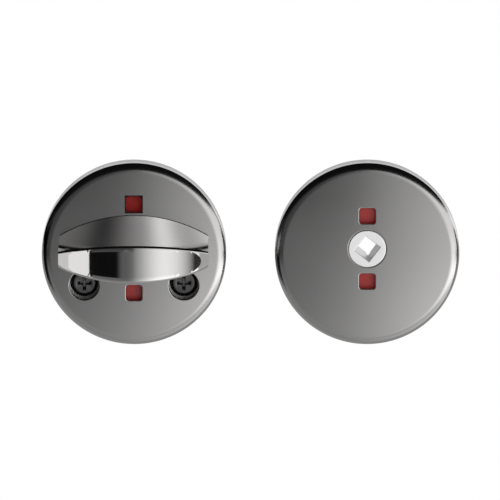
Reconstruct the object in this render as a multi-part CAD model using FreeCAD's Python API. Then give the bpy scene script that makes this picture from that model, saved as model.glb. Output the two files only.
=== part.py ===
import FreeCAD, Part
import math
import os
from FreeCAD import Vector

os.makedirs("parts", exist_ok=True)

# A bathroom lock's two halves, side by side, as they face the room.
# The door's face is the plane y = 0, the fronts look along -Y and +Z is up.
# The origin is on the turn's axis, in the door's face. Lengths are in millimetres.

# Covers
rose_rim = 9.1
rose_height = 8.0
rose_wall = 2.0
rose_face = 2.0
face_crown = 320.0
shoulder_radius = 2.4
inner_shoulder = 1.2
edge_break = 0.15
rim_break = 0.3
spindle_rise = 1.8
rose_pitch = 63.2
boss_radius = 2.9
boss_inset = 4.8
boss_angles = (30.0, 150.0, 270.0)
lip_width = 1.2
lip_depth = 0.4

# Indicator windows
window_size = 4.4
window_corner = 0.6
turn_window_offset = 12.2
release_window_offset = 9.0

# Base plates
plate_thickness = 3.0
plate_clearance = 0.15
plate_boss_radius = 8.0
clip_recess_radius = 8.6
clip_recess_depth = 1.75

# Fixing through the door
fixing_spacing = 27.0
fixing_drop = 10.2
fixing_shank = 4.0
fixing_neck = 3.4
fixing_neck_reach = 1.0
fixing_hole = 4.4
fixing_reach = 44.0
fixing_head = 7.2
fixing_head_height = 2.1
fixing_seat_depth = 1.0
fixing_head_round = 0.95
fixing_drive_reach = 1.95
fixing_tip = 0.5
screw_opening = 8.2
sleeve_diameter = 7.0
sleeve_reach = 14.0
sleeve_thread_bore = 3.3
sleeve_flange = 9.2
sleeve_flange_height = 1.0
sleeve_floor = 1.2
sleeve_chamfer = 0.4

# Small screws between cover and plate
plate_screw_shank = 2.4
plate_screw_head = 4.6
plate_screw_length = 6.3
plate_screw_room = 0.3
plate_drive_reach = 1.92

# Crossed drive recess, as shares of its reach from the middle
drive_depth = 0.45
drive_slot = 0.36
drive_core = 0.5

# Thumb turn
knob_length = 40.4
knob_base_width = 18.4
knob_base_end = 7.1
knob_front_width = 10.0
knob_front_end = 2.6
knob_projection = 22.4
knob_crown = 32.0
knob_gap = 0.4
knob_rim = 0.7
knob_end_inset = 1.9
knob_end_dome = 30.0
neck_diameter = 12.0
journal_diameter = 10.0
journal_flats = 8.4
neck_reach = 4.0
bush_outer = 14.0
bush_flange = 16.0
bush_flange_height = 0.6
groove_depth = 0.35
circlip_thickness = 0.8
circlip_width = 1.9
circlip_gap = 5.0
lug_radius = 1.3
lug_eye = 0.6
lug_lift = 0.35
washer_thickness = 0.3
washer_count = 3
washer_margin = 0.4

# Spindle
spindle_square = 5.0
spindle_reach = 46.0
spindle_depth = 14.0
pin_diameter = 2.0
pin_offset = 2.2
spindle_chamfer = 0.35

# Indicators
indicator_thickness = 0.8
indicator_arm_width = 5.6
indicator_margin = 0.8
indicator_ring = 0.6
release_disc_margin = 1.8
release_disc_thickness = 0.7

# Release hub
hub_diameter = 10.2
hub_length = 11.0
hub_key_diameter = 13.0
hub_key_flats = 10.8
hub_flange = 14.8
hub_flange_height = 1.3
hub_journal = 9.0
hub_square_turn = 8.0
hub_notch_width = 1.1
hub_notch_reach = 0.9
hub_notch_depth = 2.5

# Clearances
running = 0.07
slack = 0.05
side_gap = 0.1
behind_gap = 0.2

# The rim lies outside the circle of the fixing screws, which is drawn about the cover's own centre
fixing_circle = math.hypot(fixing_spacing / 2, fixing_drop - spindle_rise)
rose_radius = fixing_circle + rose_rim
boss_circle = rose_radius - boss_inset
face_front = -rose_height
face_back = face_front + rose_face
plate_front = -plate_thickness
boss_places = [
    (boss_circle * math.cos(math.radians(angle)), boss_circle * math.sin(math.radians(angle)) - spindle_rise)
    for angle in boss_angles
]
fixing_places = [(-fixing_spacing / 2, -fixing_drop), (fixing_spacing / 2, -fixing_drop)]


def rod(radius, start, end, x=0.0, z=0.0):
    """A round bar along Y."""
    return Part.makeCylinder(radius, end - start, Vector(x, start, z), Vector(0, 1, 0))


def cone(start_radius, end_radius, start, end, x=0.0, z=0.0):
    return Part.makeCone(start_radius, end_radius, end - start, Vector(x, start, z), Vector(0, 1, 0))


def block(width, start, end, height, x=0.0, z=0.0):
    """A box centred on a line along Y."""
    return Part.makeBox(width, end - start, height, Vector(x - width / 2, start, z - height / 2))


def rim_edges(shape, depth):
    """The edges that lie whole in the plane y = depth."""
    found = []
    for edge in shape.Edges:
        box = edge.BoundBox
        if abs(box.YMin - depth) < 1e-4 and abs(box.YMax - depth) < 1e-4:
            found.append(edge)
    return found


def long_edges(shape, length):
    """The straight edges along Y of the given length."""
    return [edge for edge in shape.Edges if abs(edge.BoundBox.YLength - length) < 1e-4
            and edge.BoundBox.XLength < 1e-4 and edge.BoundBox.ZLength < 1e-4]


def flatted(radius, flats, start, end):
    """A round bar along Y with a flat above and below."""
    return rod(radius, start, end).common(block(4 * radius, start, end, flats))


def turned_about_y(shape, angle):
    turned = shape.copy()
    turned.rotate(Vector(0, 0, 0), Vector(0, -1, 0), angle)
    return turned


def moved(shape, x=0.0, y=0.0, z=0.0):
    copy = shape.copy()
    copy.translate(Vector(x, y, z))
    return copy


def save(name, shape):
    shape = shape.removeSplitter() if len(shape.Solids) == 1 else shape
    print(name, len(shape.Solids), shape.isValid(), round(shape.Volume, 2))
    shape.exportStep("parts/" + name + ".step")


def window_cut(z):
    start = face_front - 1
    end = face_back + 1
    cut = block(window_size, start, end, window_size, 0, z)
    return cut.makeFillet(window_corner, long_edges(cut, end - start))


def crowned_rod():
    """A cover's outside: a slightly domed face, a rounded shoulder and a straight side."""
    outer = rod(rose_radius, face_front, 0, 0, -spindle_rise)
    outer = outer.common(Part.makeSphere(face_crown, Vector(0, face_front + face_crown, -spindle_rise)))
    outer = outer.makeFillet(shoulder_radius, [edge for edge in outer.Edges if edge.BoundBox.YMax < -rim_break
                                               and edge.BoundBox.XLength > rose_radius])
    return outer.makeChamfer(rim_break, rim_edges(outer, 0))


def cover(bore_radius, window_offset, with_screws):
    """A drawn and machined cover with bosses cast inside."""
    outer = crowned_rod()
    hollow = rod(rose_radius - rose_wall, face_back, 1, 0, -spindle_rise)
    hollow = hollow.makeFillet(inner_shoulder, rim_edges(hollow, face_back))
    shell = outer.cut(hollow)
    for x, z in boss_places:
        boss = rod(boss_radius, face_back - 0.5, plate_front, x, z).common(outer)
        shell = shell.fuse(boss)
    if with_screws:
        for x, z in fixing_places:
            shell = shell.fuse(rod(screw_opening / 2 + lip_width, face_back - 0.5, face_back + lip_depth, x, z))
        for x, z in fixing_places:
            shell = shell.cut(rod(screw_opening / 2, face_front - 1, plate_front, x, z))
    pilot_end = plate_screw_length + plate_screw_room
    for x, z in boss_places:
        shell = shell.cut(rod(plate_screw_shank / 2 + slack, -pilot_end, plate_front + 1, x, z))
    shell = shell.cut(rod(bore_radius, face_front - 1, face_back + 1))
    for z in (-window_offset, window_offset):
        shell = shell.cut(window_cut(z))
    face = max((face for face in shell.Faces if isinstance(face.Surface, Part.Sphere)), key=lambda face: face.Area)
    openings = [edge for wire in face.Wires if not wire.isSame(face.OuterWire) for edge in wire.Edges]
    return shell.makeChamfer(edge_break, openings)


def base_plate(bore_radius):
    """The cast plate that closes a cover, with countersinks for its three screws."""
    plate = rod(rose_radius - rose_wall - plate_clearance, plate_front, 0, 0, -spindle_rise)
    plate = plate.cut(rod(bore_radius, plate_front - 1, 1))
    head = plate_screw_head / 2
    shank = plate_screw_shank / 2
    for x, z in boss_places:
        plate = plate.cut(rod(shank + side_gap, plate_front - 1, 1, x, z))
        plate = plate.cut(cone(shank, head, shank - head, 0, x, z))
    return plate


def plate_screws():
    """Countersunk screws, flush with the back of the plate, with crossed drive slots."""
    head = plate_screw_head / 2
    shank = plate_screw_shank / 2
    screws = []
    for x, z in boss_places:
        screw = rod(shank, -plate_screw_length, 0, x, z)
        screw = screw.fuse(cone(shank, head, shank - head, 0, x, z))
        screws.append(screw.cut(drive_cross(x, 0.0, z, plate_drive_reach, 1)))
    return Part.makeCompound(screws)


def drive_cross(x, face, z, reach, side):
    """A crossed drive recess in a head whose face is at y = face; side is the way out."""
    depth = drive_depth * reach
    width = drive_slot * reach
    wings = []
    for across, up in ((2 * reach, width), (width, 2 * reach)):
        start = min(face + side, face - side * depth)
        end = max(face + side, face - side * depth)
        wings.append(block(across, start, end, up, x, z))
    point = cone(drive_core * reach, 0.5 * drive_core * reach, 0, 1.3 * depth)
    if side > 0:
        point.rotate(Vector(0, 0, 0), Vector(1, 0, 0), 180)
    point = moved(point, x, face, z)
    return wings[0].fuse(wings[1]).fuse(point)


def fixing_screws():
    """Pan headed screws that reach through the door; the thread starts behind the plate."""
    radius = fixing_shank / 2
    head_radius = fixing_head / 2
    seat = plate_front + fixing_seat_depth
    top = seat - fixing_head_height
    screws = []
    for x, z in fixing_places:
        head = rod(head_radius, top, seat, x, z)
        head = head.makeFillet(fixing_head_round, rim_edges(head, top))
        neck = rod(fixing_neck / 2, seat, fixing_neck_reach, x, z)
        shank = rod(radius, fixing_neck_reach, fixing_reach, x, z)
        shank = shank.makeChamfer(fixing_tip, rim_edges(shank, fixing_reach))
        screw = head.fuse(neck).fuse(shank)
        screws.append(screw.cut(drive_cross(x, top, z, fixing_drive_reach, -1)))
    return Part.makeCompound(screws)


def lens(depth, width, end_width):
    """A closed lens outline in a plane of constant y: two arcs and two flat ends."""
    half = knob_length / 2
    side = end_width / 2
    top = Part.Arc(Vector(-half, depth, side), Vector(0, depth, width / 2), Vector(half, depth, side))
    right = Part.LineSegment(Vector(half, depth, side), Vector(half, depth, -side))
    bottom = Part.Arc(Vector(half, depth, -side), Vector(0, depth, -width / 2), Vector(-half, depth, -side))
    left = Part.LineSegment(Vector(-half, depth, -side), Vector(-half, depth, side))
    return Part.Wire([piece.toShape() for piece in (top, right, bottom, left)])


def end_dome(front):
    """The ball that rounds both ends of the crowned front, and meets the crown near each end."""
    inner = knob_length / 2 - knob_end_inset
    meeting = front + knob_crown - math.sqrt(knob_crown ** 2 - inner ** 2)
    centre = meeting + math.sqrt(knob_end_dome ** 2 - inner ** 2)
    return Part.makeSphere(knob_end_dome, Vector(0, centre, 0), Vector(0, 1, 0))


def knob():
    """The lens shaped grip: tapering flanks under a crowned front with a rounded rim."""
    base = face_front - knob_gap
    front = base - knob_projection
    body = Part.makeLoft(
        [lens(base, knob_base_width, knob_base_end), lens(front, knob_front_width, knob_front_end)], True, True)
    crown = Part.makeCylinder(knob_crown, knob_base_width + 2,
                              Vector(0, front + knob_crown, -knob_base_width / 2 - 1), Vector(0, 0, 1))
    body = body.common(crown)
    ridge = [edge for edge in body.Edges if edge.BoundBox.YMax < base - 1]
    flanks = [edge for edge in ridge if edge.BoundBox.XLength > 1e-4 and edge.BoundBox.ZLength > 1e-4]
    return body.makeFillet(knob_rim, flanks).common(end_dome(front))


def thumb_turn():
    """Knob, round neck and flatted journal, one casting, with a square socket behind."""
    base = face_front - knob_gap
    shoulder = face_back + bush_flange_height + side_gap
    grip = knob()
    neck = rod(neck_diameter / 2, base - 1, shoulder)
    journal = flatted(journal_diameter / 2, journal_flats, shoulder - 1, neck_reach)
    body = grip.fuse(neck).fuse(journal)
    socket = spindle_square + 2 * slack
    body = body.cut(block(socket, -spindle_depth - side_gap, neck_reach + 1, socket))
    groove_start = -circlip_thickness - side_gap - slack
    groove = rod(journal_diameter, groove_start, -side_gap + slack)
    body = body.cut(groove.cut(rod(journal_diameter / 2 - groove_depth, groove_start, -side_gap + slack)))
    pin_hole = Part.makeCylinder(
        pin_diameter / 2 + slack / 2, journal_diameter, Vector(0, pin_offset, -journal_diameter / 2), Vector(0, 0, 1))
    return body.cut(pin_hole)


def turn_bush():
    inner = neck_diameter / 2 + running
    bush = rod(bush_outer / 2, face_front, face_back)
    bush = bush.fuse(rod(bush_flange / 2, face_back, face_back + bush_flange_height))
    return bush.cut(rod(inner, face_front - 1, face_back + 2))


def turn_indicator():
    """A cross: two red arms and two white arms that pass behind the windows."""
    start = face_back + bush_flange_height + side_gap
    end = start + indicator_thickness
    reach = turn_window_offset + window_size / 2 + indicator_margin
    arms = block(2 * reach + 2, start, end, indicator_arm_width)
    arms = arms.fuse(block(indicator_arm_width, start, end, 2 * reach + 2)).common(rod(reach, start, end))
    plate = arms.fuse(rod(plate_boss_radius + indicator_ring, start, end))
    return plate.cut(flatted(journal_diameter / 2 + slack, journal_flats + 2 * slack, start - 1, end + 1))


def turn_base_plate():
    """Base plate with a thrust boss in front, a clip recess behind and seats for the screws."""
    indicator_back = face_back + bush_flange_height + side_gap + indicator_thickness
    bore = journal_diameter / 2 + running
    plate = base_plate(bore)
    plate = plate.fuse(rod(plate_boss_radius, indicator_back + side_gap, plate_front + 0.5))
    plate = plate.cut(rod(bore, face_back, 1))
    plate = plate.cut(rod(clip_recess_radius, -clip_recess_depth, 1))
    for x, z in fixing_places:
        plate = plate.cut(rod(fixing_hole / 2, plate_front - 1, 1, x, z))
        plate = plate.cut(rod(fixing_head / 2 + behind_gap, plate_front - 1, plate_front + fixing_seat_depth, x, z))
    return plate


def wave_washer(inner, outer, start, end):
    """A spring ring whose thin section rises and falls around the axis."""
    middle = (start + end) / 2
    rise = (end - start - washer_thickness) / 2
    steps = 8 * washer_count
    sections = []
    for index in range(steps):
        angle = 2 * math.pi * index / steps
        y = middle + rise * math.cos(washer_count * angle)
        ray = Vector(math.cos(angle), 0, math.sin(angle))
        corners = [
            ray * inner + Vector(0, y - washer_thickness / 2, 0),
            ray * outer + Vector(0, y - washer_thickness / 2, 0),
            ray * outer + Vector(0, y + washer_thickness / 2, 0),
            ray * inner + Vector(0, y + washer_thickness / 2, 0),
        ]
        sections.append(Part.makePolygon(corners + corners[:1]))
    return Part.makeLoft(sections + sections[:1], True, False, False)


def turn_circlip():
    """An open retaining ring with two eyed lugs at its gap."""
    end = -side_gap
    start = end - circlip_thickness
    inner = journal_diameter / 2 - groove_depth + slack / 2
    outer = inner + circlip_width
    ring = rod(outer, start, end)
    lug_x = circlip_gap / 2 + 0.7 * lug_radius
    lug_z = (inner + outer) / 2 + lug_lift
    for x in (-lug_x, lug_x):
        ring = ring.fuse(rod(lug_radius, start, end, x, lug_z))
    ring = ring.cut(rod(inner, start - 1, end + 1))
    ring = ring.cut(block(circlip_gap, start - 1, end + 1, 2 * outer, 0, outer))
    for x in (-lug_x, lug_x):
        ring = ring.cut(rod(lug_eye, start - 1, end + 1, x, lug_z))
    return ring


def spindle():
    bar = block(spindle_square, -spindle_depth, spindle_reach, spindle_square)
    bar = bar.makeChamfer(spindle_chamfer, rim_edges(bar, spindle_reach))
    hole = Part.makeCylinder(
        pin_diameter / 2 + slack / 2, 4 * spindle_square, Vector(0, pin_offset, -2 * spindle_square), Vector(0, 0, 1))
    return bar.cut(hole)


def spindle_pin():
    return Part.makeCylinder(
        pin_diameter / 2, journal_flats, Vector(0, pin_offset, -journal_flats / 2), Vector(0, 0, 1))


def release_levels():
    """Depths of the hub's steps, from the cover's inside to the base plate."""
    key_start = face_back + side_gap
    key_end = key_start + behind_gap + release_disc_thickness
    return key_start, key_end, key_end + hub_flange_height


def release_hub():
    """A turned hub with a keyed step, a flange and a square hole notched at its far corner."""
    key_start, key_end, flange_end = release_levels()
    back = face_front + hub_length
    hub = rod(hub_diameter / 2, face_front, key_start)
    hub = hub.fuse(flatted(hub_key_diameter / 2, hub_key_flats, key_start, key_end))
    hub = hub.fuse(rod(hub_flange / 2, key_end, flange_end))
    hub = hub.fuse(rod(hub_journal / 2, flange_end, back))
    hole = block(spindle_square, face_front - 1, back + 1, spindle_square)
    hub = hub.cut(turned_about_y(hole, 45 + hub_square_turn))
    hub = hub.makeChamfer(edge_break, rim_edges(hub, face_front))
    corner = spindle_square / math.sqrt(2)
    notch = block(hub_notch_width, back - hub_notch_depth, back + 1, 2 * corner, 0, -hub_notch_reach)
    notch = notch.common(rod(corner + hub_notch_reach, back - hub_notch_depth, back + 1))
    return hub.cut(turned_about_y(notch, hub_square_turn))


def release_indicator():
    key_end = release_levels()[1]
    start = key_end - release_disc_thickness
    reach = release_window_offset + window_size / 2 + release_disc_margin
    disc = rod(reach, start, key_end)
    return disc.cut(flatted(hub_key_diameter / 2 + slack, hub_key_flats + 2 * slack, start - 1, key_end + 1))


def release_base_plate():
    plate = base_plate(hub_journal / 2 + running)
    for x, z in fixing_places:
        plate = plate.cut(rod(sleeve_diameter / 2 + slack, plate_front - 1, 1, x, z))
    return plate


def threaded_sleeves():
    """Flanged sleeves that stand behind the plate and are tapped from their free ends."""
    bottom = plate_front - sleeve_flange_height
    sleeves = []
    for x, z in fixing_places:
        sleeve = rod(sleeve_diameter / 2, bottom, sleeve_reach, x, z)
        sleeve = sleeve.makeChamfer(sleeve_chamfer, rim_edges(sleeve, sleeve_reach))
        sleeve = sleeve.fuse(rod(sleeve_flange / 2, bottom, plate_front, x, z))
        sleeves.append(sleeve.cut(rod(sleeve_thread_bore / 2, bottom + sleeve_floor, sleeve_reach + 1, x, z)))
    return Part.makeCompound(sleeves)


washer_inner = journal_diameter / 2 + behind_gap
washer_outer = plate_boss_radius - washer_margin
washer_end = -side_gap - circlip_thickness - slack
washer_start = -clip_recess_depth

save("turn_rose", cover(bush_outer / 2, turn_window_offset, True))
save("thumb_turn", thumb_turn())
save("turn_bush", turn_bush())
save("turn_indicator", turn_indicator())
save("turn_base_plate", turn_base_plate())
save("turn_plate_screws", plate_screws())
save("turn_wave_washer", wave_washer(washer_inner, washer_outer, washer_start, washer_end))
save("turn_circlip", turn_circlip())
save("spindle", spindle())
save("spindle_pin", spindle_pin())
save("fixing_screws", fixing_screws())

flange_back = release_levels()[2]
save("release_rose", moved(cover(hub_diameter / 2 + running, release_window_offset, False), rose_pitch))
save("release_hub", moved(release_hub(), rose_pitch))
save("release_indicator", moved(release_indicator(), rose_pitch))
save("release_base_plate", moved(release_base_plate(), rose_pitch))
save("release_plate_screws", moved(plate_screws(), rose_pitch))
save("release_wave_washer", moved(wave_washer(washer_inner, hub_flange / 2, flange_back + slack, plate_front), rose_pitch))
save("threaded_sleeves", moved(threaded_sleeves(), rose_pitch))
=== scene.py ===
import math

import bmesh
import bpy
from mathutils import Matrix, Vector


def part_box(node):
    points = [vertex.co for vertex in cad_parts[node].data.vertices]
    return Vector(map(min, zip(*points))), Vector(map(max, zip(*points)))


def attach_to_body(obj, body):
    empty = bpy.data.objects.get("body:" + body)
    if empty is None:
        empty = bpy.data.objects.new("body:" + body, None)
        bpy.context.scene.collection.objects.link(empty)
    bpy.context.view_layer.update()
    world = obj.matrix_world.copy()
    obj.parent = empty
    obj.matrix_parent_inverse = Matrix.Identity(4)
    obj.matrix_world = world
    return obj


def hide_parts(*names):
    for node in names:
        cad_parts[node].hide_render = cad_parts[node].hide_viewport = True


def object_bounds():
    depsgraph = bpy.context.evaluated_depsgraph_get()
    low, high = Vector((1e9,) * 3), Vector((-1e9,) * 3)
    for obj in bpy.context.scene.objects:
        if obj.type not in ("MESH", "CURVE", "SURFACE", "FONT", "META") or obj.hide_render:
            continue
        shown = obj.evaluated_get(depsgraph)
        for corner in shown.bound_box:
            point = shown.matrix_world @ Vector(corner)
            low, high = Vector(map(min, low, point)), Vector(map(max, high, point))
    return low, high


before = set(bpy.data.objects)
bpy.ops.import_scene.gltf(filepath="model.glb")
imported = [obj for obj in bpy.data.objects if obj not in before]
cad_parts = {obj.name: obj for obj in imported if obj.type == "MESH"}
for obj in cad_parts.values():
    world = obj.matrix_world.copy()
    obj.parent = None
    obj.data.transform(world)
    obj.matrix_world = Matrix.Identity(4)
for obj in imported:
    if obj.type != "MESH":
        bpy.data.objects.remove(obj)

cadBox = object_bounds()
mm = 0.001
print("frame loaded")


# Shader maths as Python expressions
class Flow:
    def __init__(self, sheet, socket):
        self.sheet = sheet
        self.socket = socket

    def sums(self, operation, first, second=None):
        values = {0: first} if second is None else {0: first, 1: second}
        return self.sheet.add("ShaderNodeMath", {"operation": operation}, values)

    def __add__(self, other):
        return self.sums("ADD", self, other)

    def __radd__(self, other):
        return self.sums("ADD", other, self)

    def __sub__(self, other):
        return self.sums("SUBTRACT", self, other)

    def __rsub__(self, other):
        return self.sums("SUBTRACT", other, self)

    def __mul__(self, other):
        return self.sums("MULTIPLY", self, other)

    def __rmul__(self, other):
        return self.sums("MULTIPLY", other, self)

    def __truediv__(self, other):
        return self.sums("DIVIDE", self, other)

    def __pow__(self, other):
        return self.sums("POWER", self, other)

    def absolute(self):
        return self.sums("ABSOLUTE", self)

    def ramp(self, low, high, start=0.0, end=1.0, kind="SMOOTHSTEP"):  # level outside low and high
        values = {"Value": self, "From Min": low, "From Max": high, "To Min": start, "To Max": end}
        return self.sheet.add("ShaderNodeMapRange", {"interpolation_type": kind}, values)

    def band(self, middle, half, soft):  # 1 inside a band, with soft edges
        return (self - middle).absolute().ramp(half + soft, half)


class Sheet:
    def __init__(self, tree):
        self.tree = tree
        tree.nodes.clear()

    def add(self, kind, settings=None, values=None, out=0):
        node = self.tree.nodes.new(kind)
        for name, setting in (settings or {}).items():
            setattr(node, name, setting)
        for name, value in (values or {}).items():
            socket = node.inputs[name]
            if isinstance(value, Flow):
                self.tree.links.new(value.socket, socket)
            else:
                socket.default_value = value
        return Flow(self, node.outputs[out]) if len(node.outputs) else None

    def mix(self, factor, first, second):  # colours by a factor
        values = {"Factor": factor, 6: first, 7: second}
        return self.add("ShaderNodeMix", {"data_type": "RGBA"}, values, 2)

    def point(self):  # Object coordinates, in metres
        return self.add("ShaderNodeTexCoord", out=3)

    def axes(self, vector):
        node = self.add("ShaderNodeSeparateXYZ", values={0: vector}).socket.node
        return [Flow(self, socket) for socket in node.outputs]

    def noise(self, scale, detail=2.0, roughness=0.5, vector=None):
        values = {"Vector": vector or self.point(), "Scale": scale}
        values.update({"Detail": detail, "Roughness": roughness})
        return self.add("ShaderNodeTexNoise", values=values)

    def bump(self, height, distance, strength=1.0, normal=None):
        values = {"Strength": strength, "Distance": distance, "Height": height}
        if normal is not None:
            values["Normal"] = normal
        return self.add("ShaderNodeBump", values=values)


def grey(level):
    return (level, level, level, 1.0)


def makeMaterial(name, build):
    material = bpy.data.materials.new(name)
    material.use_nodes = True
    sheet = Sheet(material.node_tree)
    shader = build(sheet)
    sheet.add("ShaderNodeOutputMaterial", values={"Surface": shader})
    return material


# Camera, a little above the middle of the pair
cameraSetup = {
    "elevation": 11.0,
    "distance": 2.5,
    "frameWidth": 135.4 * mm,      # what the picture's width spans at the covers' faces
    "sensor": 36.0,
    "aimAcross": 31.45 * mm,
    "aimUp": -0.3 * mm,
    "faceDepth": -8.0 * mm,
}


def makeCamera():
    data = bpy.data.cameras.new("camera")
    camera = bpy.data.objects.new("camera", data)
    bpy.context.collection.objects.link(camera)
    aim = Vector((cameraSetup["aimAcross"], cameraSetup["faceDepth"], cameraSetup["aimUp"]))
    up = math.radians(cameraSetup["elevation"])
    away = Vector((0.0, -math.cos(up), math.sin(up)))
    camera.location = aim + away * cameraSetup["distance"]
    camera.rotation_euler = (-away).to_track_quat("-Z", "Y").to_euler()
    data.sensor_width = cameraSetup["sensor"]
    data.lens = cameraSetup["sensor"] * cameraSetup["distance"] / cameraSetup["frameWidth"]
    data.clip_start = 0.01
    bpy.context.scene.camera = camera
    print("camera placed")


# Studio: a soft light from the right, a pale ground, a dark ceiling and dark cards for the grip
studio = {
    "floorDrop": 95.0 * mm,
    "floorFront": 0.05,
    "floorBack": 3.0,
    "floorSide": 2.5,
    "floorGlow": 0.80,
    "frontLow": 0.36,
    "softbox": 2.25,
    "softboxAcross": (-9.0, 31.0),             # directions are in degrees, from the front
    "softboxUp": (-2.0, -21.0, 0.60, 1.52),
    "middleStep": (-2.0, 3.0, 0.86, 1.04),
    "upperHalf": (-11.5, -6.0),
    "upperStep": (-2.0, 3.0, -0.30, 0.42),
    "leftGlow": 1.1,
    "ground": 0.64,
    "groundRight": 1.80,
    "groundAcross": (-30.0, 75.0),
    "groundUp": (-18.0, -32.0),
    "ceiling": 0.012,
    "ceilingEdge": (-80.0, 0.0, 6.0, 20.0),
    "ceilingSoft": 6.0,
    "backdrop": 0.95,
    "backRight": 1.90,
    "cardLevel": -11.0,                        # the height of the dark cards
    "cardHalf": 1.6,
    "cardSoft": 0.8,
    "fillPower": 1.6,
}


def frontLight(sheet, x, y, z):
    toDegrees = 180.0 / math.pi
    azimuth = sheet.add("ShaderNodeMath", {"operation": "ARCTAN2"}, {0: x, 1: 0.0 - y}) * toDegrees
    height = sheet.add("ShaderNodeMath", {"operation": "ARCSINE"}, {0: z}) * toDegrees
    level = azimuth.ramp(*studio["softboxAcross"]) * studio["softbox"] + studio["frontLow"]
    level = level * height.ramp(*studio["softboxUp"]) * azimuth.ramp(*studio["middleStep"])
    level = level * (1.0 + height.ramp(*studio["upperHalf"]) * azimuth.ramp(*studio["upperStep"]))
    leftGlow = azimuth.ramp(-2.5, -7.0) * azimuth.ramp(-10.5, -8.5)
    level = level * (1.0 + height.band(-8.0, 0.6, 1.8) * leftGlow * studio["leftGlow"])
    low = height.ramp(*studio["groundUp"])
    ground = azimuth.ramp(*studio["groundAcross"], studio["ground"], studio["groundRight"])
    level = level * (1.0 - low) + ground * low
    cards = height.band(studio["cardLevel"], studio["cardHalf"], studio["cardSoft"])
    blackCard = azimuth.ramp(-10.0, -17.5) * azimuth.ramp(-60.0, -55.0)
    fall = azimuth.ramp(30.0, 62.0, kind="LINEAR")
    darkSide = fall * fall * azimuth.ramp(80.0, 72.0)
    level = level * (1.0 - cards * blackCard) * (1.0 - cards * darkSide * 0.98)
    edge = azimuth.ramp(*studio["ceilingEdge"])
    return level * (height - edge).ramp(studio["ceilingSoft"], -studio["ceilingSoft"])


def backLight(x, z):
    side = x.ramp(0.20, 0.80) * studio["backRight"] + studio["backdrop"]
    return x.ramp(-0.5, -0.1) * z.ramp(0.42, 0.22) * side


def overheadLight(x, y, z):  # reaches the grip's flanks by way of the cover's face
    level = x.ramp(-0.20, -0.33, 0.06, 1.00) + x.ramp(-0.18, 0.04) * 2.2
    level = level + x.band(0.160, 0.005, 0.095) * 6.3 + x.ramp(0.25, 0.30) * 0.5
    return level * y.ramp(-0.30, -0.60) * z.ramp(0.12, 0.25)


def worldLight(sheet):
    direction = sheet.add("ShaderNodeTexCoord", out=0)
    x, y, z = sheet.axes(direction)
    behind = y.ramp(-0.10, 0.10)
    level = frontLight(sheet, x, y, z) * (1.0 - behind) + backLight(x, z) * behind + studio["ceiling"]
    bounces = sheet.add("ShaderNodeLightPath", out="Ray Depth")
    level = level + overheadLight(x, y, z) * bounces.ramp(2.0, 3.0)
    seen = sheet.add("ShaderNodeLightPath")
    strength = seen + (1.0 - seen) * level
    return sheet.add("ShaderNodeBackground", values={"Color": grey(1.0), "Strength": strength})


def makeWorld():
    world = bpy.data.worlds.new("studio")
    world.use_nodes = True
    bpy.context.scene.world = world
    sheet = Sheet(world.node_tree)
    sheet.add("ShaderNodeOutputWorld", values={"Surface": worldLight(sheet)})


def makeFill():  # a soft lamp in front that lights paint and plastic and isn't mirrored in metal
    data = bpy.data.lights.new("fill", "AREA")
    data.shape = "DISK"
    data.size = 0.5
    data.energy = studio["fillPower"]
    lamp = bpy.data.objects.new("fill", data)
    bpy.context.collection.objects.link(lamp)
    lamp.location = (-0.10, -0.70, 0.25)
    lamp.rotation_euler = lamp.location.to_track_quat("Z", "Y").to_euler()
    lamp.visible_glossy = False


def floorFinish(sheet):
    paint = sheet.add("ShaderNodeBsdfDiffuse", values={"Color": grey(0.80)})
    seen = sheet.add("ShaderNodeLightPath", out="Is Camera Ray")
    glossy = sheet.add("ShaderNodeLightPath", out="Is Glossy Ray")
    strength = seen + glossy * studio["floorGlow"]
    glow = sheet.add("ShaderNodeEmission", values={"Color": grey(1.0), "Strength": strength})
    return sheet.add("ShaderNodeMixShader", values={0: seen + glossy, 1: paint, 2: glow})


# Panels that only the grip mirrors, as flags keep their light off the covers
gripPanels = {
    "far": 1.0,
    "cards": (
        ("innerCard", -66.0, -43.5, 2.65),
        ("outerCard", -96.0, -66.0, 1.95),
        ("rightCard", 71.0, 92.0, 1.25),
    ),
    "cardHigh": 6.0,
    "cardLow": -28.0,
}


def cardFinish(level):
    def build(sheet):
        return sheet.add("ShaderNodeEmission", values={"Color": grey(1.0), "Strength": level})
    return build


def towards(azimuth, height):
    turn, rise = math.radians(azimuth), math.radians(height)
    return Vector((math.sin(turn) * math.cos(rise), -math.cos(turn) * math.cos(rise), math.sin(rise)))


def gripPanel(bm, name, build, seen):
    material = makeMaterial(name, build)
    material.cycles.emission_sampling = "FRONT_BACK"
    panel = meshObject(bm, name, material)
    for ray in ("camera", "diffuse", "transmission", "shadow"):
        setattr(panel, "visible_" + ray, False)
    panel.light_linking.receiver_collection = seen
    panel.light_linking.blocker_collection = seen


def makeGripPanels(grip):
    seen = bpy.data.collections.new("gripOnly")
    seen.objects.link(grip)
    far = gripPanels["far"]
    for name, left, right, level in gripPanels["cards"]:
        bm = bmesh.new()
        corners = [towards(turn, rise) * far for turn, rise in (
            (left, gripPanels["cardLow"]), (right, gripPanels["cardLow"]),
            (right, gripPanels["cardHigh"]), (left, gripPanels["cardHigh"]))]
        bm.faces.new([bm.verts.new(corner) for corner in corners])
        gripPanel(bm, name, cardFinish(level), seen)
    print("grip panels placed")


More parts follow.
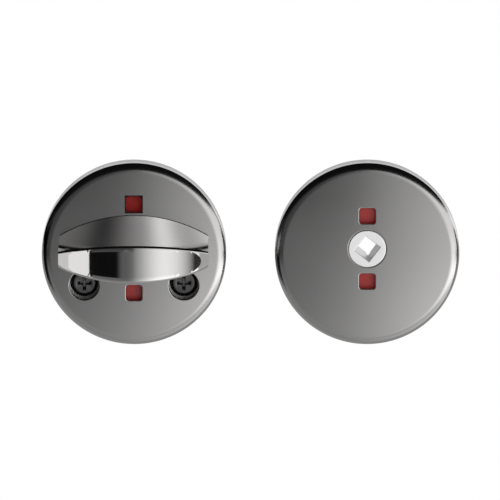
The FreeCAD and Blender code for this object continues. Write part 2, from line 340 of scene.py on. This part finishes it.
def makeFloor():
    bm = bmesh.new()
    bmesh.ops.create_grid(bm, x_segments=1, y_segments=1, size=1.0)
    depth = (studio["floorFront"] + studio["floorBack"]) / 2
    bmesh.ops.scale(bm, vec=(studio["floorSide"], depth, 1.0), verts=bm.verts)
    middle = (studio["floorBack"] - studio["floorFront"]) / 2
    bmesh.ops.translate(bm, vec=(0.0, middle, cadBox[0][2] - studio["floorDrop"]), verts=bm.verts)
    meshObject(bm, "floor", makeMaterial("paleFloor", floorFinish))
    print("studio ready")


# Mesh helpers
def meshObject(bm, name, material, smoothAngle=None, creases=()):
    if smoothAngle is not None:
        limit = math.radians(smoothAngle)
        for face in bm.faces:
            face.smooth = True
        for edge in bm.edges:
            edge.smooth = len(edge.link_faces) == 2 and edge.calc_face_angle(0.0) < limit
    for edge in creases:
        edge.smooth = False
    mesh = bpy.data.meshes.new(name)
    bm.to_mesh(mesh)
    bm.free()
    thing = bpy.data.objects.new(name, mesh)
    bpy.context.collection.objects.link(thing)
    mesh.materials.append(material)
    return thing


def attach(thing, body, slot, *nodes):
    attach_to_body(thing, body)
    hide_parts(*nodes)


def breakEdges(thing, width, angle):  # small rounds on the sharp edges, with the flat faces kept flat
    bevel = thing.modifiers.new("edges", "BEVEL")
    bevel.width = width
    bevel.segments = 2
    bevel.limit_method = "ANGLE"
    bevel.angle_limit = math.radians(angle)
    even = thing.modifiers.new("normals", "WEIGHTED_NORMAL")
    even.keep_sharp = True


def borderEdges(bm, centre=(0.0, 0.0), reach=1.0):  # open edges within a distance of a centre
    spot = Vector((centre[0], 0.0, centre[1]))
    found = []
    for edge in bm.edges:
        if len(edge.link_faces) == 1:
            if all((vert.co * Vector((1, 0, 1)) - spot).length < reach for vert in edge.verts):
                found.append(edge)
    return found


def ring(bm, radius, x, y, z, steps):  # a circle that faces along Y
    made = bmesh.ops.create_circle(bm, cap_ends=False, radius=radius, segments=steps)["verts"]
    bmesh.ops.rotate(bm, verts=made, cent=(0, 0, 0), matrix=Matrix.Rotation(math.pi / 2, 3, "X"))
    bmesh.ops.translate(bm, verts=made, vec=(x, y, z))
    return list({edge for vert in made for edge in vert.link_edges})


def roundedSquare(bm, size, corner, x, y, z, steps=5):
    made = bmesh.ops.create_circle(bm, cap_ends=True, radius=size / math.sqrt(2), segments=4)["verts"]
    bmesh.ops.rotate(bm, verts=made, cent=(0, 0, 0), matrix=Matrix.Rotation(math.pi / 4, 3, "Z"))
    rounded = bmesh.ops.bevel(bm, geom=made, offset=corner, offset_type="OFFSET", segments=steps,
                              profile=0.5, affect="VERTICES", material=-1)
    faces = list({face for vert in rounded["verts"] for face in vert.link_faces})
    verts = list(faces[0].verts)
    edges = list(faces[0].edges)
    bmesh.ops.delete(bm, geom=faces, context="FACES_ONLY")
    bmesh.ops.rotate(bm, verts=verts, cent=(0, 0, 0), matrix=Matrix.Rotation(math.pi / 2, 3, "X"))
    bmesh.ops.translate(bm, verts=verts, vec=(x, y, z))
    return edges


def pull(bm, loop, centre, scale, depth):  # extrudes a loop to a new depth, scaled about its centre
    made = bmesh.ops.extrude_edge_only(bm, edges=loop)["geom"]
    verts = {item for item in made if isinstance(item, bmesh.types.BMVert)}
    edges = [item for item in made if isinstance(item, bmesh.types.BMEdge) and set(item.verts) <= verts]
    spot = Vector((centre[0], 0.0, centre[1]))
    bmesh.ops.translate(bm, verts=list(verts), vec=-spot)
    bmesh.ops.scale(bm, verts=list(verts), vec=(scale, 1.0, scale))
    bmesh.ops.translate(bm, verts=list(verts), vec=spot)
    for vert in verts:
        vert.co.y = depth
    return edges


def follow(bm, loop, centre, width, steps):  # pulls a loop through a list of (width, depth)
    for target, depth in steps:
        loop = pull(bm, loop, centre, target / width, depth)
        width = target
    return loop


def fillBetween(bm, *loops):
    edges = [edge for loop in loops for edge in loop]
    return bmesh.ops.triangle_fill(bm, edges=edges, use_beauty=True, use_dissolve=False)


def latticeCut(bm, low, high, pitch):  # splits flat faces into small squares
    for axis, normal in ((0, (1, 0, 0)), (2, (0, 0, 1))):
        count = int((high[axis] - low[axis]) / pitch)
        for step in range(1, count):
            place = [0.0, 0.0, 0.0]
            place[axis] = low[axis] + (high[axis] - low[axis]) * step / count
            geom = bm.verts[:] + bm.edges[:] + bm.faces[:]
            bmesh.ops.bisect_plane(bm, geom=geom, dist=1e-7, plane_co=place, plane_no=normal)


# Covers
coverShape = {
    "axisRise": 1.8 * mm,          # the spindle's axis above the cover's centre
    "wall": 2.0 * mm,
    "face": 2.0 * mm,
    "shoulder": 2.4 * mm,
    "inner": 1.2 * mm,
    "edge": 0.15 * mm,
    "rimBreak": 0.3 * mm,
    "crown": 320.0 * mm,
    "steps": 192,
    "arcSteps": 14,
    "lattice": 1.3 * mm,
    "window": 4.4 * mm,
    "corner": 0.6 * mm,
    "support": 0.12 * mm,
    "bossRadius": 2.9 * mm,
    "bossInset": 4.8 * mm,
    "bossAngles": (30.0, 150.0, 270.0),
    "pilot": 1.25 * mm,
}


def coverOpening(bm, centre, size, reach, front, back):
    edge = coverShape["edge"]
    loop = borderEdges(bm, centre, reach)
    steps = [(size + 2 * edge, front)]
    for step in range(1, 5):
        angle = math.pi / 2 * step / 4
        steps.append((size + 2 * edge * (1 - math.sin(angle)), front + edge * (1 - math.cos(angle))))
    steps.append((size, back))
    return follow(bm, loop, centre, size + 2 * edge + 2 * coverShape["support"], steps)


def coverBoss(bm, x, z, outer, inner, start, end):
    loop = ring(bm, outer, x, start, z, 40)
    loop = follow(bm, loop, (x, z), outer, [(outer, end), (inner, end), (inner, start), (outer, start)])


def makeCover(name, node, boreRadius, windowOffset, screwHoles):
    low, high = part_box(node)
    shape = coverShape
    radius = (high[0] - low[0]) / 2
    centre = ((low[0] + high[0]) / 2, (low[2] + high[2]) / 2)
    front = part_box("release_hub")[0][1]
    back = front + shape["face"]
    axisUp = centre[1] + shape["axisRise"]
    grow = 2 * (shape["edge"] + shape["support"])
    flatRadius = radius - shape["shoulder"] - shape["support"]
    bm = bmesh.new()
    rim = ring(bm, flatRadius, centre[0], front, centre[1], shape["steps"])
    loops = [ring(bm, boreRadius + grow / 2, centre[0], front, axisUp, 96)]
    openings = [((centre[0], axisUp), 2 * boreRadius, boreRadius + grow)]
    size = shape["window"]
    for side in (-1, 1):
        z = axisUp + side * windowOffset
        loops.append(roundedSquare(bm, size + grow, shape["corner"] + grow / 2, centre[0], front, z))
        openings.append(((centre[0], z), size, 0.8 * size))
    for x, z, holeRadius in screwHoles:
        loops.append(ring(bm, holeRadius + grow / 2, x, front, z, 72))
        openings.append(((x, z), 2 * holeRadius, holeRadius + grow))
    fillBetween(bm, rim, *loops)
    latticeCut(bm, low, high, shape["lattice"])
    inside = [coverOpening(bm, spot, size, reach, front, back) for spot, size, reach in openings]
    rim = [edge for edge in borderEdges(bm) if all(abs(vert.co.y - front) < 1e-7 for vert in edge.verts)]
    steps = [(radius - shape["shoulder"], front)]
    for step in range(1, shape["arcSteps"] + 1):
        angle = math.pi / 2 * step / shape["arcSteps"]
        width = radius - shape["shoulder"] * (1 - math.sin(angle))
        steps.append((width, front + shape["shoulder"] * (1 - math.cos(angle))))
    side = follow(bm, rim, centre, flatRadius, steps)
    for vert in bm.verts:  # the face is a little crowned, down to nothing at the foot of the shoulder
        reach = math.hypot(vert.co.x - centre[0], vert.co.z - centre[1])
        share = max(0.0, 1 - (vert.co.y - front) / shape["shoulder"])
        if vert.co.y < back - 1e-7 or reach > radius - shape["shoulder"]:
            vert.co.y += reach ** 2 / (2 * shape["crown"]) * share
    end = high[1]
    edge = shape["rimBreak"]
    inner = radius - shape["wall"]
    side = follow(bm, side, centre, radius, [
        (radius, front + shape["shoulder"] + shape["support"]),
        (radius, end - edge),
        (radius - edge * 0.3, end - edge * 0.3),
        (radius - edge, end),
        (inner + 0.1 * mm, end),
        (inner, end - 0.1 * mm),
        (inner, back + shape["inner"]),
        (inner - shape["inner"] * 0.3, back + shape["inner"] * 0.3),
        (inner - shape["inner"], back),
    ])
    fillBetween(bm, side, *inside)
    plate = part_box("release_base_plate")[0][1]
    reach = radius - shape["bossInset"]
    for angle in shape["bossAngles"]:
        x = centre[0] + reach * math.cos(math.radians(angle))
        z = centre[1] + reach * math.sin(math.radians(angle))
        coverBoss(bm, x, z, shape["bossRadius"], shape["pilot"], back - 0.3 * mm, plate)
    bmesh.ops.remove_doubles(bm, verts=bm.verts, dist=1e-7)
    bmesh.ops.recalc_face_normals(bm, faces=bm.faces)
    attach(meshObject(bm, name, nickelSatin, 40.0), "roses", "black_nickel", node)
    print(name + " modelled")


def makeWindowCard(windowOffset):  # a metal sheet over the upper window that only reflections see: a painted reflection of metal over the window in the grip's mirror, and painted shade on the upper window's red, whose sheen it hides
    bm = bmesh.new()
    half = coverShape["window"] / 2 + coverShape["edge"] + 0.1 * mm
    bmesh.ops.create_grid(bm, x_segments=8, y_segments=8, size=half)
    bmesh.ops.rotate(bm, verts=bm.verts, cent=(0, 0, 0), matrix=Matrix.Rotation(math.pi / 2, 3, "X"))
    bmesh.ops.translate(bm, verts=bm.verts, vec=(0.0, faceFront - 0.01 * mm, windowOffset))
    for vert in bm.verts:
        reach = math.hypot(vert.co.x, vert.co.z + coverShape["axisRise"])
        vert.co.y += reach ** 2 / (2 * coverShape["crown"])
    card = meshObject(bm, "windowCard", nickelSatin, 40.0)
    for ray in ("camera", "diffuse", "transmission", "shadow"):
        setattr(card, "visible_" + ray, False)


# Thumb turn
turnShape = {
    "length": 40.4 * mm,
    "baseWidth": 18.4 * mm,
    "baseEnd": 7.1 * mm,
    "frontWidth": 10.0 * mm,
    "frontEnd": 2.6 * mm,
    "projection": 22.4 * mm,
    "crown": 32.0 * mm,            # radius of the crowned front, seen from above
    "endInset": 1.9 * mm,          # where the end dome takes over from the crown
    "endDome": 30.0 * mm,
    "rim": 0.7 * mm,
    "rimSteps": 7,
    "faceRows": 4,
    "flankRows": 8,
    "middleColumns": 40,
    "sideColumns": 26,
    "endColumns": 8,
    "creaseStart": 10.8 * mm,
    "edgeBreak": 0.12 * mm,
    "neckCut": 0.02 * mm,
}
turnHalf = turnShape["length"] / 2
domeStart = turnHalf - turnShape["endInset"]


def lensHalf(x, width, endWidth):
    rise = (width - endWidth) / 2
    radius = (turnHalf * turnHalf + rise * rise) / (2 * rise)
    return math.sqrt(radius * radius - x * x) - radius + width / 2


def flankHalf(x, depth):  # half the grip's height, at a depth behind its front
    front = lensHalf(x, turnShape["frontWidth"], turnShape["frontEnd"])
    base = lensHalf(x, turnShape["baseWidth"], turnShape["baseEnd"])
    return front + (base - front) * depth / turnShape["projection"]


def crownDepth(x):
    return turnShape["crown"] - math.sqrt(turnShape["crown"] ** 2 - x * x)


domeCentre = crownDepth(domeStart) + math.sqrt(turnShape["endDome"] ** 2 - domeStart ** 2)


def frontDepth(x, z):
    return max(crownDepth(x), domeCentre - math.sqrt(turnShape["endDome"] ** 2 - x * x - z * z))


def creaseHeight(x):  # where the end dome meets the crown
    return math.sqrt(max(0.0, turnShape["endDome"] ** 2 - x * x - (domeCentre - crownDepth(x)) ** 2))


def turnSection(x):  # half a cross section as (height, depth), from the middle of the front to the base
    shape = turnShape
    z = flankHalf(x, 0.0)
    for attempt in range(8):
        z = flankHalf(x, frontDepth(x, z))
    corner = Vector((z, frontDepth(x, z)))
    step = 0.01 * mm
    inward = Vector((-step, frontDepth(x, z - step) - corner.y)).normalized()
    down = Vector((flankHalf(x, corner.y + step) - z, step)).normalized()
    opening = inward.angle(down) / 2
    middle = corner + (inward + down).normalized() * shape["rim"] / math.sin(opening)
    reach = shape["rim"] / math.tan(opening)
    first = (corner + inward * reach - middle).normalized()
    last = (corner + down * reach - middle).normalized()
    arc = [middle + first.slerp(last, step / shape["rimSteps"]) * shape["rim"]
           for step in range(shape["rimSteps"] + 1)]
    edge = arc[0].x
    crease = min(creaseHeight(x), edge)
    rows = shape["faceRows"]
    heights = [crease * step / rows for step in range(rows)]
    heights += [crease + (edge - crease) * step / rows for step in range(rows)]
    face = [Vector((height, frontDepth(x, height))) for height in heights]
    foot = Vector((flankHalf(x, shape["projection"]), shape["projection"]))
    flank = [arc[-1].lerp(foot, step / shape["flankRows"]) for step in range(1, shape["flankRows"] + 1)]
    return face + arc + flank


def turnColumns():  # closer together towards the point of the crease
    shape = turnShape
    start = shape["creaseStart"]
    middle = [start * step / shape["middleColumns"] for step in range(shape["middleColumns"])]
    side = [start + (domeStart - start) * math.sin(math.pi / 2 * step / shape["sideColumns"])
            for step in range(shape["sideColumns"])]
    end = [domeStart + (turnHalf - domeStart) * step / shape["endColumns"]
           for step in range(shape["endColumns"] + 1)]
    half = middle + side + end
    return [-x for x in reversed(half[1:])] + half


def onCrease(vert, front):
    x, y, z = vert.co
    level = abs(abs(z) - creaseHeight(x)) < 1e-6
    return abs(x) < domeStart + 1e-6 and level and abs(y - front - crownDepth(x)) < 1e-6


def closeLoop(bm, edges, bridgeVerts=()):
    if bridgeVerts:
        edges = edges + [bm.edges.new(bridgeVerts)]
    bmesh.ops.edgeloop_fill(bm, edges=edges)


def makeTurn():
    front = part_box("thumb_turn")[0][1]
    base = front + turnShape["projection"]
    columns = turnColumns()
    sections = [turnSection(x) for x in columns]
    half = len(sections[0])
    bm = bmesh.new()
    spans = {"x_segments": len(columns) - 1, "y_segments": 2 * half - 2}
    grid = bmesh.ops.create_grid(bm, size=1.0, **spans)["verts"]
    for index, vert in enumerate(grid):
        column = index % len(columns)
        row = index // len(columns) - half + 1
        height, depth = sections[column][abs(row)]
        vert.co = (columns[column], front + depth, height if row > 0 else -height)
    bmesh.ops.remove_doubles(bm, verts=bm.verts, dist=1e-6)
    for side in (-1, 1):
        end = [edge for edge in borderEdges(bm)
               if all(abs(vert.co.x - side * turnHalf) < 1e-6 for vert in edge.verts)]
        corners = {vert for edge in end for vert in edge.verts if abs(vert.co.y - base) < 1e-6}
        closeLoop(bm, end, tuple(corners))
    closeLoop(bm, borderEdges(bm))
    creases = [edge for edge in bm.edges if all(onCrease(vert, front) for vert in edge.verts)]
    addNeck(bm, base)
    bmesh.ops.recalc_face_normals(bm, faces=bm.faces)
    knob = meshObject(bm, "turnKnob", nickelPolished, 30.0, creases)
    breakEdges(knob, turnShape["edgeBreak"], 40.0)
    attach(knob, "turn", "black_nickel_polished", "thumb_turn")
    makeGripPanels(knob)
    print("thumb turn modelled")


def addNeck(bm, base):  # the part of the casting behind the grip
    neck = bmesh.new()
    neck.from_mesh(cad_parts["thumb_turn"].data)
    bmesh.ops.remove_doubles(neck, verts=neck.verts, dist=1e-6)
    geom = neck.verts[:] + neck.edges[:] + neck.faces[:]
    place = (0.0, base + turnShape["neckCut"], 0.0)
    bmesh.ops.bisect_plane(neck, geom=geom, dist=1e-7, plane_co=place, plane_no=(0, 1, 0), clear_inner=True)
    fillBetween(neck, [edge for edge in neck.edges if len(edge.link_faces) == 1])
    mesh = bpy.data.meshes.new("neck")
    neck.to_mesh(mesh)
    neck.free()
    bm.from_mesh(mesh)
    bpy.data.meshes.remove(mesh)


# Pieces whose solids have their true form: a smooth copy with its edges broken
def refinedCopy(node, name, material, body, slot, edgeBreak=0.0, smoothAngle=30.0):
    bm = bmesh.new()
    bm.from_mesh(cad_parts[node].data)
    bmesh.ops.remove_doubles(bm, verts=bm.verts, dist=1e-6)
    if edgeBreak:
        bmesh.ops.dissolve_limit(bm, angle_limit=math.radians(0.5), verts=bm.verts, edges=bm.edges)
    thing = meshObject(bm, name, material, smoothAngle)
    if edgeBreak:
        breakEdges(thing, edgeBreak, smoothAngle)
    attach(thing, body, slot, node)


# Fixing screws
screwShape = {
    "head": 3.6 * mm,
    "headHeight": 2.1 * mm,
    "shank": 2.0 * mm,
    "neck": 1.7 * mm,
    "neckEnd": 1.0 * mm,
    "pitch": 0.7 * mm,
    "threadDepth": 0.36 * mm,
    "threadSteps": 28,
    "recess": 2.05 * mm,
    "recessWing": 0.48 * mm,
    "recessDepth": 1.2 * mm,
    "tipBreak": 0.5 * mm,
}


def crossLoop(bm, reach, wing, x, y, z):  # the outline of a crossed drive recess
    verts = bmesh.ops.create_grid(bm, x_segments=3, y_segments=3, size=1.0)["verts"]
    for vert in verts:
        for axis in (0, 1):
            side = 1 if vert.co[axis] > 0 else -1
            vert.co[axis] = side * (reach if abs(vert.co[axis]) > 0.5 else wing)
    faces = list({face for vert in verts for face in vert.link_faces})
    corners = [face for face in faces if min(abs(value) for value in face.calc_center_median()[:2]) > wing]
    bmesh.ops.delete(bm, geom=corners, context="FACES")
    left = [face for face in faces if face.is_valid]
    verts = list({vert for face in left for vert in face.verts})
    border = [edge for face in left for edge in face.edges if len(edge.link_faces) == 1]
    bmesh.ops.delete(bm, geom=left, context="FACES_ONLY")
    inner = [edge for vert in verts for edge in vert.link_edges if edge not in border]
    bmesh.ops.delete(bm, geom=list(set(inner)), context="EDGES")
    border = [edge for edge in border if edge.is_valid]
    verts = list({vert for edge in border for vert in edge.verts})
    bmesh.ops.rotate(bm, verts=verts, cent=(0, 0, 0), matrix=Matrix.Rotation(math.pi / 2, 3, "X"))
    bmesh.ops.translate(bm, verts=verts, vec=(x, y, z))
    return border


def threadSurface(bm, x, z, radius, depth, start, end):  # one turn, and its copies
    pitch = screwShape["pitch"]
    turns = int((end - start) / pitch) + 3
    steps = screwShape["threadSteps"]
    flat = pitch / 8
    begin = start - 1.5 * pitch
    points = ((radius - depth, 0.0), (radius, pitch / 2 - flat / 2), (radius, pitch / 2 + flat / 2),
              (radius - depth, pitch - flat), (radius - depth, pitch))
    verts = [bm.verts.new((x + reach, begin + place, z)) for reach, place in points]
    edges = [bm.edges.new(pair) for pair in zip(verts, verts[1:])]
    bmesh.ops.spin(bm, geom=verts + edges, cent=(x, 0, z), axis=(0, 1, 0), dvec=(0, pitch / steps, 0),
                   angle=2 * math.pi, steps=steps, use_merge=False)
    first = bm.verts[:] + bm.edges[:] + bm.faces[:]
    for turn in range(1, turns):
        made = bmesh.ops.duplicate(bm, geom=first)["geom"]
        moved = [item for item in made if isinstance(item, bmesh.types.BMVert)]
        bmesh.ops.translate(bm, verts=moved, vec=(0, pitch * turn, 0))


def makeScrews():
    shape = screwShape
    node = "fixing_screws"
    low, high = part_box(node)
    z = low[2] + shape["head"]
    front = low[1]
    seat = front + shape["headHeight"]
    round_ = 0.45 * shape["headHeight"]
    bm = bmesh.new()
    for x in (low[0] + shape["head"], high[0] - shape["head"]):
        part = bmesh.new()
        threadSurface(part, x, z, shape["shank"], shape["threadDepth"], shape["neckEnd"], high[1])
        bmesh.ops.remove_doubles(part, verts=part.verts, dist=1e-6)
        for place, normal in ((shape["neckEnd"], (0, -1, 0)), (high[1], (0, 1, 0))):
            geom = part.verts[:] + part.edges[:] + part.faces[:]
            bmesh.ops.bisect_plane(part, geom=geom, dist=1e-7, plane_co=(0, place, 0), plane_no=normal,
                                   clear_outer=True)
        for vert in part.verts:  # the thread's ends run out in a cone
            fromEnd = min(high[1] - vert.co.y, vert.co.y - shape["neckEnd"])
            limit = shape["shank"] - max(0.0, shape["tipBreak"] - fromEnd)
            offset = Vector((vert.co.x - x, 0.0, vert.co.z - z))
            if offset.length > limit:
                vert.co -= offset * (1 - limit / offset.length)
        fillBetween(part, [edge for edge in part.edges if len(edge.link_faces) == 1
                           and min(vert.co.y for vert in edge.verts) > high[1] - 1e-6])
        fillBetween(part, [edge for edge in part.edges if len(edge.link_faces) == 1])
        mesh = bpy.data.meshes.new("thread")
        part.to_mesh(mesh)
        part.free()
        bm.from_mesh(mesh)
        bpy.data.meshes.remove(mesh)
        crown = shape["head"] - round_
        rim = ring(bm, crown, x, front, z, 72)
        cross = crossLoop(bm, shape["recess"], shape["recessWing"], x, front, z)
        fillBetween(bm, rim, cross)
        steps = []
        for step in range(1, 9):
            angle = math.pi / 2 * step / 8
            width = shape["head"] - round_ * (1 - math.sin(angle))
            steps.append((width, front + round_ * (1 - math.cos(angle))))
        steps += [(shape["head"], seat - 0.1 * mm), (shape["head"] - 0.1 * mm, seat)]
        steps += [(shape["neck"], seat), (shape["neck"], shape["neckEnd"] + 0.3 * mm)]
        end = follow(bm, rim, (x, z), crown, steps)
        fillBetween(bm, end)
        deep = pull(bm, cross, (x, z), 0.93, front + 0.06 * mm)
        deep = pull(bm, deep, (x, z), 0.62, front + shape["recessDepth"])
        fillBetween(bm, deep)
    bmesh.ops.recalc_face_normals(bm, faces=bm.faces)
    attach(meshObject(bm, "fixingScrews", blackZinc, 35.0), "roses", "black_zinc_steel", node)
    print("fixing screws modelled")


# Finishes
def metalTone(base, tint=(1.0, 0.985, 0.978)):
    return tuple(base * part for part in tint) + (1.0,)


def nickelShader(sheet, colour, roughness, normal=None):
    values = {"Base Color": colour, "Metallic": 1.0, "Roughness": roughness}
    if normal is not None:
        values["Normal"] = normal
    return sheet.add("ShaderNodeBsdfPrincipled", values=values)


def satinFinish(sheet):  # plated over a fine blasted ground, with painted shade inside the cover: its openings' walls are coloured dark
    point = sheet.point()
    cloud = sheet.noise(60.0, 3.0, 0.55, point)
    grain = sheet.noise(5200.0, 2.0, 0.6, point)
    x, y, z = sheet.axes(point)
    middle = releaseAcross / 2
    across = (x - middle).absolute() - middle
    reach = (across * across + (z + coverShape["axisRise"]) ** 2) ** 0.5
    sunk = y - faceFront - reach * reach / (2 * coverShape["crown"])
    # painted shade: the walls of the openings and the inside of the cover, from 0.25 to 0.7 mm behind the
    # crowned face, are coloured near black and made rougher
    inside = sunk.ramp(0.25 * mm, 0.7 * mm) * reach.ramp(22.4 * mm, 22.0 * mm)
    colour = sheet.mix(inside, metalTone(0.275), metalTone(0.05))
    roughness = 0.15 + cloud * 0.06 + inside * 0.25
    return nickelShader(sheet, colour, roughness, sheet.bump(grain, 0.000002, 0.4))


def polishedFinish(sheet):
    cloud = sheet.noise(70.0, 3.0, 0.5)
    return nickelShader(sheet, metalTone(0.275), 0.04 + cloud * 0.03)


def metalFinish(base, roughness, grainScale, grainDepth, tint=(1.0, 1.0, 1.0)):
    def build(sheet):
        point = sheet.point()
        cloud = sheet.noise(grainScale * 0.08, 3.0, 0.6, point)
        grain = sheet.noise(grainScale, 3.0, 0.6, point)
        normal = sheet.bump(grain, grainDepth, 0.6)
        rough = roughness * 0.85 + cloud * roughness * 0.3
        return nickelShader(sheet, metalTone(base, tint), rough, normal)
    return build


def plasticShader(sheet, colour, roughness):
    point = sheet.point()
    grain = sheet.noise(2500.0, 2.0, 0.5, point)
    values = {"Base Color": colour, "Roughness": roughness, "Normal": sheet.bump(grain, 0.00001, 0.3)}
    return sheet.add("ShaderNodeBsdfPrincipled", values=values)


def nylonFinish(sheet):
    cloud = sheet.noise(300.0, 3.0, 0.5)
    return plasticShader(sheet, sheet.mix(cloud, grey(0.022), grey(0.04)), 0.45)


indicatorColours = {
    "red": (0.34, 0.010, 0.007, 1.0),
    "redDeep": (0.28, 0.008, 0.006, 1.0),
    "white": (0.82, 0.82, 0.80, 1.0),
    "edge": 0.03,
}


def indicatorFinish(middle):  # red above and below the axis, white to the left and right
    def build(sheet):
        x, y, z = sheet.axes(sheet.point())
        cloud = sheet.noise(500.0, 2.0, 0.5)
        red = sheet.mix(cloud, indicatorColours["redDeep"], indicatorColours["red"])
        across = (x - middle).absolute() - z.absolute()
        side = across.ramp(-indicatorColours["edge"] * mm, indicatorColours["edge"] * mm)
        return plasticShader(sheet, sheet.mix(side, red, indicatorColours["white"]), 0.35)
    return build


releaseAcross = (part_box("release_rose")[0][0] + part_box("release_rose")[1][0]) / 2
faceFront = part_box("release_hub")[0][1]
nickelSatin = makeMaterial("blackNickelSatin", satinFinish)
nickelPolished = makeMaterial("blackNickelPolished", polishedFinish)
hubNickel = makeMaterial("beadBlastedNickel", metalFinish(0.77, 0.36, 4200.0, 0.000012))
blackZinc = makeMaterial("blackZincPlate", metalFinish(0.085, 0.38, 2500.0, 0.00001))
castZinc = makeMaterial("castZinc", metalFinish(0.50, 0.5, 900.0, 0.00002))
zincPlate = makeMaterial("zincPlatedSteel", metalFinish(0.62, 0.3, 1500.0, 0.000008))
springSteel = makeMaterial("springSteel", metalFinish(0.18, 0.35, 1500.0, 0.000006))
turnMarks = makeMaterial("turnIndicatorPaint", indicatorFinish(0.0))
releaseMarks = makeMaterial("releaseIndicatorPaint", indicatorFinish(releaseAcross))
blackNylon = makeMaterial("blackNylon", nylonFinish)

for node, finish in {
    "release_hub": hubNickel,
    "fixing_screws": blackZinc,
    "turn_base_plate": castZinc,
    "release_base_plate": castZinc,
    "turn_plate_screws": zincPlate,
    "release_plate_screws": zincPlate,
    "spindle": zincPlate,
    "threaded_sleeves": zincPlate,
    "turn_wave_washer": springSteel,
    "release_wave_washer": springSteel,
    "turn_circlip": springSteel,
    "spindle_pin": springSteel,
    "turn_indicator": turnMarks,
    "release_indicator": releaseMarks,
    "turn_bush": blackNylon,
    "turn_rose": nickelSatin,
    "release_rose": nickelSatin,
    "thumb_turn": nickelPolished,
}.items():
    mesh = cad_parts[node].data
    mesh.materials.clear()
    mesh.materials.append(finish)
print("finishes assigned")

makeCamera()
makeWorld()
makeFill()
makeFloor()

screwOpening = {"across": 13.5 * mm, "down": -10.2 * mm, "radius": 4.1 * mm}
holes = [(side * screwOpening["across"], screwOpening["down"], screwOpening["radius"]) for side in (-1, 1)]
turnWindows = 12.2 * mm            # from the spindle's axis to the middle of a window
releaseWindows = 9.0 * mm
turnBore = 7.0 * mm
releaseBore = 5.17 * mm
makeCover("turnCover", "turn_rose", turnBore, turnWindows, holes)
makeCover("releaseCover", "release_rose", releaseBore, releaseWindows, [])
makeWindowCard(turnWindows)
makeTurn()
makeScrews()

for node, name, material, body, slot, edgeBreak in (
    ("release_hub", "releaseHub", hubNickel, "release", "satin_nickel", 0.06 * mm),
    ("turn_indicator", "turnIndicator", turnMarks, "turn", "indicator_red", 0.08 * mm),
    ("release_indicator", "releaseIndicator", releaseMarks, "release", "indicator_red", 0.08 * mm),
    ("turn_base_plate", "turnPlate", castZinc, "roses", "cast_zinc", 0.12 * mm),
    ("release_base_plate", "releasePlate", castZinc, "roses", "cast_zinc", 0.12 * mm),
    ("turn_plate_screws", "turnPlateScrews", zincPlate, "roses", "zinc_plated_steel", 0.04 * mm),
    ("release_plate_screws", "releasePlateScrews", zincPlate, "roses", "zinc_plated_steel", 0.04 * mm),
    ("turn_bush", "turnBush", blackNylon, "roses", "nylon", 0.08 * mm),
    ("turn_wave_washer", "turnWasher", springSteel, "roses", "spring_steel", 0.0),
    ("release_wave_washer", "releaseWasher", springSteel, "roses", "spring_steel", 0.0),
    ("turn_circlip", "circlip", springSteel, "turn", "spring_steel", 0.05 * mm),
    ("spindle", "spindleBar", zincPlate, "turn", "zinc_plated_steel", 0.12 * mm),
    ("spindle_pin", "spindlePin", springSteel, "turn", "spring_steel", 0.06 * mm),
    ("threaded_sleeves", "sleeves", zincPlate, "roses", "zinc_plated_steel", 0.08 * mm),
):
    refinedCopy(node, name, material, body, slot, edgeBreak)
print("small pieces finished")

bpy.context.scene.view_settings.view_transform = "Standard"
